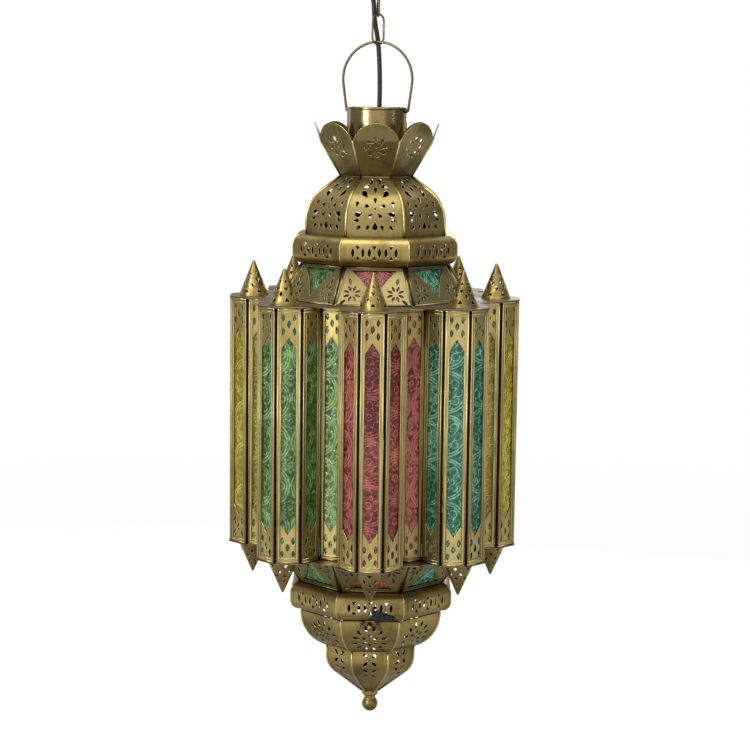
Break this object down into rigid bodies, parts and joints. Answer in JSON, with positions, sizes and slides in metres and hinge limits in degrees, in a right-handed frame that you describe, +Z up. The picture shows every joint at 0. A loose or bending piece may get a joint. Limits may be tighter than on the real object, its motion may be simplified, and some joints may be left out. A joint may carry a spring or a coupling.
{
  "type": "hanging lantern",
  "caption": "Octagonal pierced-brass hanging lantern with coloured glass columns, petal crown, hinged bowl and finial, on a bail, chain and ceiling rose with electric flex.",
  "frame": {"origin": "on the ceiling plane, midway between the two screw holes of the mounting bar", "axes": "+Z up out of the ceiling, -Y towards the front of the lantern where the bowl's catch is, +X to the right"},
  "size_m": [0.322, 0.322, 0.8775],
  "materials": {
    "antique_brass": "aged satin brass with dark patina",
    "polished_brass": "polished",
    "black_flex": "smooth flex sheath",
    "black_holder": "moulded black",
    "dark_spring": "blackened spring steel",
    "zinc_steel": "zinc plated",
    "bulb_glass": "clear",
    "red_glass": "rolled pattern glass",
    "teal_glass": "rolled pattern glass",
    "yellow_glass": "rolled pattern glass",
    "green_glass": "rolled pattern glass"
  },
  "bodies": {
    "ceiling_set": {"mounting_bar": "zinc_steel", "canopy": "antique_brass", "canopy_nipple": "antique_brass", "canopy_loop": "antique_brass", "canopy_cord_gland": "black_flex", "cord": "black_flex"},
    "upper_link": {"chain_link_upper": "antique_brass"},
    "lower_link": {"chain_link_lower": "antique_brass"},
    "bail": {"bail": "antique_brass"},
    "lantern": {"neck_tube": "polished_brass", "neck_plate": "antique_brass", "crown_petals": "antique_brass", "dome_gores": "antique_brass", "upper_band": "antique_brass", "lower_band": "antique_brass", "upper_shoulder_frames": "antique_brass", "lower_shoulder_frames": "antique_brass", "shoulder_glass_red": "red_glass", "shoulder_glass_teal": "teal_glass", "shoulder_glass_yellow": "yellow_glass", "shoulder_glass_green": "green_glass", "top_plate": "antique_brass", "base_plate": "antique_brass", "upper_cones": "antique_brass", "lower_cones": "antique_brass", "column_1_panels": "antique_brass", "column_1_glass": "red_glass", "column_2_panels": "antique_brass", "column_2_glass": "teal_glass", "column_3_panels": "antique_brass", "column_3_glass": "yellow_glass", "column_4_panels": "antique_brass", "column_4_glass": "green_glass", "column_5_panels": "antique_brass", "column_5_glass": "red_glass", "column_6_panels": "antique_brass", "column_6_glass": "teal_glass", "column_7_panels": "antique_brass", "column_7_glass": "yellow_glass", "column_8_panels": "antique_brass", "column_8_glass": "green_glass", "catch_clip": "dark_spring", "hinge_leaf_fixed": "antique_brass", "hinge_pin": "dark_spring", "cord_grip": "black_flex", "inner_flex": "black_flex", "lamp_holder_cap": "black_holder", "lamp_holder_skirt": "black_holder"},
    "bowl_door": {"bowl_upper": "antique_brass", "bowl_lower": "antique_brass", "finial": "antique_brass", "finial_nut": "antique_brass", "catch_knob": "antique_brass", "hinge_leaf_door": "antique_brass"},
    "bulb": {"bulb_cap": "zinc_steel", "bulb_glass": "bulb_glass"}
  },
  "joints": [
    {"name": "upper_link_swing", "type": "hinge", "parent": "ceiling_set", "child": "upper_link", "pos_m": [0, 0, -0.0622], "axis": [0.8192, 0.5736, 0], "range_deg": [-30, 30], "deforming": ["cord"]},
    {"name": "lower_link_swing", "type": "hinge", "parent": "upper_link", "child": "lower_link", "pos_m": [0, 0, -0.0921], "axis": [-0.1219, 0.9925, 0], "range_deg": [-30, 30], "deforming": ["cord"]},
    {"name": "bail_swing", "type": "hinge", "parent": "lower_link", "child": "bail", "pos_m": [0, 0, -0.1224], "axis": [0.8192, 0.5736, 0], "range_deg": [-30, 30], "deforming": ["cord"]},
    {"name": "bail_pivot", "type": "hinge", "parent": "bail", "child": "lantern", "pos_m": [0, 0, -0.1953], "axis": [0.9397, -0.342, 0], "range_deg": [-45, 45], "deforming": ["cord"]},
    {"name": "bowl_hinge", "type": "hinge", "parent": "lantern", "child": "bowl_door", "pos_m": [0, 0.084, -0.7525], "axis": [1, 0, 0], "range_deg": [0, 100]},
    {"name": "bulb_turn", "type": "hinge", "parent": "lantern", "child": "bulb", "pos_m": [0, 0, -0.52], "axis": [0, 0, 1], "continuous": true}
  ]
}
